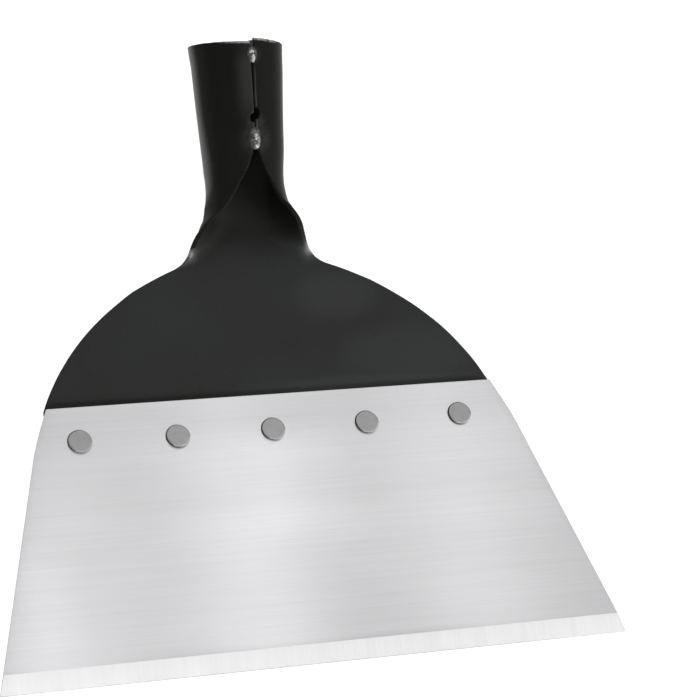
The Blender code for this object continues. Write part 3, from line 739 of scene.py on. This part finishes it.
def make_sheet(paint, edge):
    n = 46
    rows = sheet_rows()
    bm = bmesh.new()
    half_t = PLATE_T / 2.0

    def rim_slide(side, x, m):
        back, flank, seam = MOUTH[side]
        radius = outer_radius(V_MOUTH)
        level = 0.5 * (back + seam)
        return level + (seam - level) * m / radius + (flank - level) * abs(x) / radius

    def point(row, line, length, side, run, offset, slide, rim):
        y, z, tilt, flat, radius = row[:5]
        arc_x = side * run
        offset += wander(arc_x, y)
        x, m, a = on_line(line, run, length)
        x, m = x + offset * math.sin(a), m - offset * math.cos(a)
        if rim > 0.0:
            slide += rim * rim_slide(side, x, m - radius)
            slide += rim * 0.10 * noise.noise(Vector((arc_x / 2.2, offset, 5.0)))
        if y > 48.0:
            x += side_trim[side](y) * ease(x / (flat + radius)) * ease((y - 48.0) / 3.0)
        shift = neck_shift(y)
        return Vector((side * x + shift,
                       y - m * math.sin(tilt) + slide * math.cos(tilt),
                       z + m * math.cos(tilt) + slide * math.sin(tilt)))

    def loop_for(kind, value, slide=0.0, squeeze=0.0, rim=0.0):
        reach, length, line, rows_by_side = {}, {}, {}, {}
        for side in (-1, 1):
            row = section(kind, value, side)
            y, z, tilt, flat, radius, wrap, flange = row
            rows_by_side[side] = row
            turned = wrap - side * SEAM_TURN * (wrap / math.pi) ** 2
            edge = seam_edge(side, value if kind == "tube" else V_TUBE)
            limit = math.pi - side * SEAM_TURN - edge / radius
            reach[side] = flat + radius * min(turned, limit) + flange
            length[side] = flat + radius * turned + flange + 0.2
            line[side] = bend(row, turned, length[side])
            if kind == "plate":
                reach[side] += 0.10 * noise.noise(Vector((y / 5.0, 9.0 * side, 3.3)))
        # corner arcs run from the face of the sheet round to the middle of its edge
        corner = [(ROUND * (1.0 - math.sin(a)), ROUND * (1.0 - math.cos(a)))
                  for a in (math.radians(90.0 * k / ROUND_N) for k in range(1, ROUND_N + 1))]
        shrink = (half_t - squeeze) / half_t
        top, bottom = [], []
        for part, sign in ((top, 1.0), (bottom, -1.0)):
            for back, down in reversed(corner):
                part.append(point(rows_by_side[-1], line[-1], length[-1], -1, reach[-1] - back,
                                  sign * (half_t - down) * shrink, slide, rim))
            for k in range(n, -1, -1):
                part.append(point(rows_by_side[-1], line[-1], length[-1], -1, (reach[-1] - ROUND) * k / n,
                                  sign * half_t * shrink, slide, rim))
            for k in range(1, n + 1):
                part.append(point(rows_by_side[1], line[1], length[1], 1, (reach[1] - ROUND) * k / n,
                                  sign * half_t * shrink, slide, rim))
            for back, down in corner:
                part.append(point(rows_by_side[1], line[1], length[1], 1, reach[1] - back,
                                  sign * (half_t - down) * shrink, slide, rim))
        return [bm.verts.new(p) for p in top], [bm.verts.new(p) for p in bottom]

    loops, stations = [], []
    for k in range(ROUND_N, 0, -1):
        a = math.radians(90.0 * k / ROUND_N)
        stations.append(PLATE_LOW_Y)
        loops.append(loop_for("plate", PLATE_LOW_Y + ROUND - ROUND * math.sin(a), 0.0,
                              ROUND * (1.0 - math.cos(a))))
    for kind, value in rows:
        rim = ease((value - (V_MOUTH - 9.0)) / 9.0) if kind == "tube" else 0.0
        loops.append(loop_for(kind, value, 0.0, 0.0, rim))
        stations.append(value if kind == "plate" else 200.0)
    end = V_MOUTH - ROUND
    loops.append(loop_for("tube", end, 0.0, 0.0, 1.0))
    for k in range(1, ROUND_N + 1):
        a = math.radians(90.0 * k / ROUND_N)
        loops.append(loop_for("tube", end, ROUND * math.sin(a), ROUND * (1.0 - math.cos(a)), 1.0))

    last = len(loops[0][0]) - 1
    stations += [200.0] * (len(loops) - len(stations))
    for at, (top_a, low_a), (top_b, low_b) in zip(stations, loops, loops[1:]):
        dull = 61.0 < at < 82.0
        for k in range(last):
            for a, b in ((top_a, top_b), (low_a, low_b)):
                face = bm.faces.new((a[k], a[k + 1], b[k + 1], b[k]))
                face.material_index = int(dull and k <= ROUND_N)
        for k in (0, last):
            face = bm.faces.new((top_a[k], top_b[k], low_b[k], low_a[k]))
            face.material_index = int(dull and k == 0)
    for top, low in (loops[0], loops[-1]):
        for k in range(last):
            bm.faces.new((top[k], top[k + 1], low[k + 1], low[k]))
    for vert in bm.verts:
        vert.co = to_row(vert.co)
    return finish_mesh("socket_plate_fine", bm, (paint, edge), ("socket_plate",), sharp=60)


# ------------------------------------------------------------------ rivets
def make_rivet(i, x, y, face, side, lit_edge_mat):
    under_head = 0.02
    under_plate = Z_MID - PLATE_T / 2.0
    head_top = CLEAR + HEAD_H
    profile = [(0.0, head_top - 0.05, 0), (1.6, head_top - 0.05, 0), (2.9, head_top - 0.03, 0),
               (3.7, head_top, 0), (4.05, head_top - 0.01, 0), (4.22, head_top - 0.05, 0),
               (4.31, head_top - 0.12, 0), (4.36, head_top - 0.22, 1), (HEAD_R, head_top - 0.35, 1),
               (HEAD_R, under_head + 0.15, 1), (HEAD_R - 0.1, under_head, 1), (SHANK_R, under_head, 1),
               (SHANK_R, under_plate - 0.02, 1), (TAIL_R - 0.1, under_plate - 0.02, 0),
               (TAIL_R, under_plate - 0.2, 0), (TAIL_R - 0.15, under_plate - 0.5, 0),
               (TAIL_R * 0.8, under_plate - 0.75, 0), (TAIL_R * 0.6, under_plate - 0.93, 0),
               (TAIL_R * 0.35, under_plate - 1.03, 0), (0.0, under_plate - 1.06, 0)]
    segments = 64
    bm = bmesh.new()
    rings = []
    for r, z, _ in profile:
        if r == 0.0:
            rings.append([bm.verts.new((x, y, z))])
            continue
        ring = []
        for k in range(segments):
            a = 2.0 * math.pi * k / segments
            # hammered heads are never quite round
            rr = r * (1.0 + 0.012 * noise.noise(Vector((math.cos(a) * 1.3, math.sin(a) * 1.3, 4.7 * i))))
            zz = z
            if z > 0.5 and r < 4.2:
                zz += 0.02 * noise.noise(Vector((rr * math.cos(a) / 1.7, rr * math.sin(a) / 1.7, 2.0 * i)))
            # the head was closed a little askew over its shank
            lean = clamp((head_top - 0.15 - z) / 0.3) if z > 0.0 else 0.0
            ring.append(bm.verts.new((x - 0.16 * lean + rr * math.cos(a), y + 0.24 * lean + rr * math.sin(a), zz)))
        rings.append(ring)
    for j, (a_ring, b_ring) in enumerate(zip(rings, rings[1:])):
        for k in range(segments):
            e = (k + 1) % segments
            if len(a_ring) == 1:
                f = bm.faces.new((a_ring[0], b_ring[k], b_ring[e]))
            elif len(b_ring) == 1:
                f = bm.faces.new((a_ring[k], b_ring[0], a_ring[e]))
            else:
                f = bm.faces.new((a_ring[k], b_ring[k], b_ring[e], a_ring[e]))
            # material 1 is the near-black painted shade of the sides
            f.material_index = max(profile[j][2], profile[j + 1][2])
            # painted highlight: the edge facing the blade's lower right corner takes a lighter material
            if 3 <= j <= 7 and 0.66 < (k + 0.5) / segments < 0.97:
                f.material_index = 2
    for vert in bm.verts:
        vert.co = to_row(vert.co)
    return finish_mesh("rivet_%d_fine" % i, bm, (face, side, lit_edge_mat), ("rivet_%d" % i,), sharp=45)


# ------------------------------------------------------------------ welds
def make_weld(name, node, v_mid, across, half_len, half_wid, lumps, mats, root=None):
    """A lumpy bead over the seam, with lumps (dv, dw, length, width, height).

    root = (v0, v1) fills the bottom of the gap between the two lips with the second material, near black as painted
    shade.
    """
    rings, spokes = 26, 56
    bm = bmesh.new()

    def height(du, dw, r):
        h = 0.0
        for lv, lw, ll, lb, lh in lumps:
            d2 = ((du - lv) / ll) ** 2 + ((dw - lw) / lb) ** 2
            if d2 < 1.0:
                h = max(h, 0.0) + lh * (1.0 - d2) ** 0.75 * (1.0 if h == 0.0 else 0.45)
        h += 0.07 * noise.noise(Vector((du / 1.1, dw / 1.1, v_mid)))
        h += 0.07 * math.cos(2.0 * math.pi * (du - 0.35 * dw * dw) / 1.25)
        base = 0.34 * (1.0 - r ** 3)
        return max(h, 0.0) * (1.0 - r ** 6) + base

    def at(r, spoke, top):
        phi = 2.0 * math.pi * spoke / spokes
        edge = 1.0 + 0.10 * noise.noise(Vector((math.cos(phi) * 1.6, math.sin(phi) * 1.6, v_mid)))
        du, dw = half_len * edge * r * math.cos(phi), half_wid * edge * r * math.sin(phi)
        v = v_mid + du
        h = height(du, dw, r) if top else -0.35
        return on_socket(v, SEAM_TURN + (across + dw) / outer_radius(v), outer_radius(v) + h)

    layers = []
    for top in (True, False):
        centre = bm.verts.new(at(0.0, 0, top))
        loops = [[bm.verts.new(at((k / rings), s, top)) for s in range(spokes)]
                 for k in range(1, rings + 1)]
        for s in range(spokes):
            e = (s + 1) % spokes
            bm.faces.new((centre, loops[0][s], loops[0][e]))
            for a, b in zip(loops, loops[1:]):
                bm.faces.new((a[s], b[s], b[e], a[e]))
        layers.append(loops[-1])
    upper, lower = layers
    for s in range(spokes):
        e = (s + 1) % spokes
        bm.faces.new((upper[s], lower[s], lower[e], upper[e]))
    if root is not None:
        v0, v1 = root
        steps = 14
        strips = []
        for k in range(steps + 1):
            v = v0 + (v1 - v0) * k / steps
            half = seam_edge(1, v) + 0.12
            sag = 0.62 + 0.10 * noise.noise(Vector((v / 1.3, 8.1, 0.2))) + 0.25 * ease((v - v1 + 0.7) / 0.7)
            ring = [(-half, 1.55), (-half, sag + 0.08), (-0.5 * half, sag), (0.5 * half, sag + 0.05),
                    (half, sag - 0.02), (half, 1.55)]
            strips.append([bm.verts.new(on_socket(v, SEAM_TURN + w / outer_radius(v), outer_radius(v) - d))
                           for w, d in ring])
        for a, b in zip(strips, strips[1:]):
            for j in range(6):
                face = bm.faces.new((a[j], a[(j + 1) % 6], b[(j + 1) % 6], b[j]))
                # painted shade: the root takes the near-black material
                face.material_index = 1
        for end in (strips[0], strips[-1]):
            bm.faces.new(end).material_index = 1
    for vert in bm.verts:
        vert.co = to_row(vert.co)
    return finish_mesh(name, bm, mats, (node,), sharp=60, weighted=False)


# ------------------------------------------------------------------ stage
def area(name, location, target, size, size_y, radiance, colour=(1.0, 1.0, 1.0)):
    """A soft panel of a given brightness, facing its target."""
    light = bpy.data.lights.new(name, 'AREA')
    light.shape = 'RECTANGLE'
    light.size, light.size_y = size, size_y
    light.energy = radiance * math.pi * size * size_y
    light.color = colour
    ob = bpy.data.objects.new(name, light)
    bpy.context.scene.collection.objects.link(ob)
    ob.location = location
    ob.rotation_euler = (Vector(target) - Vector(location)).to_track_quat('-Z', 'Y').to_euler()
    return ob


def make_stage():
    bm = bmesh.new()
    bmesh.ops.create_grid(bm, x_segments=1, y_segments=1, size=12.0)
    mesh = bpy.data.meshes.new("floor")
    bm.to_mesh(mesh)
    bm.free()
    floor = bpy.data.objects.new("floor", mesh)
    bpy.context.scene.collection.objects.link(floor)
    t = Tree("floor_white")
    t.set(Base_Color=(0.2, 0.2, 0.2, 1.0), Roughness=0.9, Specular_IOR_Level=0.0)
    t.bsdf.inputs["Emission Color"].default_value = (1.0, 1.0, 1.0, 1.0)
    t.bsdf.inputs["Emission Strength"].default_value = 1.0
    mesh.materials.append(t.mat)

    world = bpy.data.worlds.new("studio")
    bpy.context.scene.world = world
    world.use_nodes = True
    nt = world.node_tree
    background = nt.nodes["Background"]
    coord = nt.nodes.new("ShaderNodeTexCoord")
    split = nt.nodes.new("ShaderNodeSeparateXYZ")
    ramp = nt.nodes.new("ShaderNodeValToRGB")
    nt.links.new(coord.outputs["Generated"], split.inputs[0])
    nt.links.new(split.outputs[2], ramp.inputs[0])
    nt.links.new(ramp.outputs[0], background.inputs["Color"])
    stops = ramp.color_ramp.elements
    stops[0].position, stops[0].color = 0.0, (0.50, 0.50, 0.50, 1.0)
    stops[1].position, stops[1].color = 1.0, (0.20, 0.20, 0.20, 1.0)
    for place, value in ((0.02, 0.50), (0.05, 0.13), (0.30, 0.13), (0.50, 0.20)):
        stops.new(place).color = (value, value, value, 1.0)
    background.inputs["Strength"].default_value = 1.0

    aim = (0.0, 0.0, 0.02)
    area("overhead", (0.39, 1.22, 1.20), (0.39, 1.22, 0.0), 0.95, 1.60, 1.25)
    area("front_strip", (0.39, -0.12, 1.20), (0.39, -0.12, 0.0), 0.80, 0.34, 1.20)
    area("band_middle", (0.330, 0.75, 1.18), (0.330, 0.75, 0.0), 0.08, 2.30, 1.65)
    area("band_right", (0.531, 0.75, 1.18), (0.531, 0.75, 0.0), 0.08, 2.30, 1.45)
    area("band_left", (0.150, -0.30, 1.18), (0.150, -0.30, 0.0), 0.08, 0.80, 2.10)
    area("back_left", (-0.95, 0.95, 0.70), aim, 0.70, 0.45, 1.5)
    area("key", (0.85, -0.95, 0.62), aim, 0.55, 0.45, 18.0)
    area("front_low", (0.10, -1.10, 0.62), (0.0, 0.05, 0.03), 0.30, 0.30, 5.0)
    area("spark_right", (1.10, -0.55, 0.21), (0.0, 0.05, 0.02), 0.11, 0.11, 150.0)
    area("spark_left", (-0.62, -0.91, 0.56), (0.0, 0.05, 0.02), 0.12, 0.12, 80.0)
    # large dim panels all round that only the gloss of the steel picks up
    for name, place, size, size_y, radiance in (
            ("side_left", (-2.1, -0.2, 0.95), 3.4, 1.7, 0.42),
            ("side_right", (2.3, -0.2, 0.95), 3.4, 1.7, 0.42),
            ("side_front", (0.0, -2.3, 1.00), 3.4, 1.7, 0.42),
            ("side_back", (-1.5, 2.0, 1.20), 1.9, 2.0, 0.42),
            ("upper_left", (-0.82, 1.10, 1.15), 1.1, 1.1, 1.15)):
        area(name, place, aim, size, size_y, radiance).visible_diffuse = False


def make_camera():
    cam = bpy.data.cameras.new("camera")
    cam.lens, cam.sensor_width = 2400.0 * 36.0 / 700.0, 36.0
    cam.sensor_fit = 'AUTO'
    ob = bpy.data.objects.new("camera", cam)
    bpy.context.scene.collection.objects.link(ob)
    right = Vector((0.94849774, -0.18865651, 0.25448135))
    down = Vector((-0.05941319, -0.89501391, -0.44206353))
    ahead = Vector((0.31116252, 0.40417671, -0.86012736))
    shift = Vector((-23.57922978 - 0.18, 16.26773538 - 0.18, 881.41662899))
    place = -(right * shift.x + down * shift.y + ahead * shift.z)
    # put half a pixel of shift into the position, and leave the lens straight
    rotation = Matrix((right, -down, -ahead)).transposed()
    ob.matrix_world = Matrix.Translation(to_row(place)) @ rotation.to_4x4()
    cam.clip_start, cam.clip_end = 0.05, 60.0
    bpy.context.scene.camera = ob


# ------------------------------------------------------------------ assembly
steel, ground, paint, bead = blade_steel(), ground_steel(), black_paint(), weld_paint()
head, shade_side, edge_highlight = rivet_face(), rivet_side_shade(), rivet_edge_highlight()

make_blade(steel, ground)
make_sheet(paint, edge_paint())
for i, (x, y) in enumerate(RIVETS):
    make_rivet(i + 1, x, y, head, shade_side, edge_highlight)
make_weld("seam_weld_upper_fine", "seam_weld_upper", 41.6, -0.15, 2.9, 1.95,
          ((1.5, 0.0, 1.1, 1.5, 0.45), (-0.5, 0.1, 1.7, 1.2, 0.75), (-2.0, -0.9, 0.8, 0.5, 0.2),
           (-2.0, 0.9, 0.8, 0.5, 0.2)), (bead, shade_side), root=(40.6, 47.0))
make_weld("seam_weld_lower_fine", "seam_weld_lower", 10.7, -0.3, 4.1, 2.4,
          ((0.4, 0.2, 2.2, 1.2, 0.65), (-1.6, 1.0, 1.7, 0.8, 0.6), (2.8, -0.5, 1.1, 1.3, 0.25),
           (-3.0, 0.2, 0.9, 1.6, 0.3)), (bead,))
make_stage()
make_camera()

view = bpy.context.scene.view_settings
view.view_transform = 'Standard'
view.look = 'None'
view.exposure = 0.0
view.gamma = 1.0
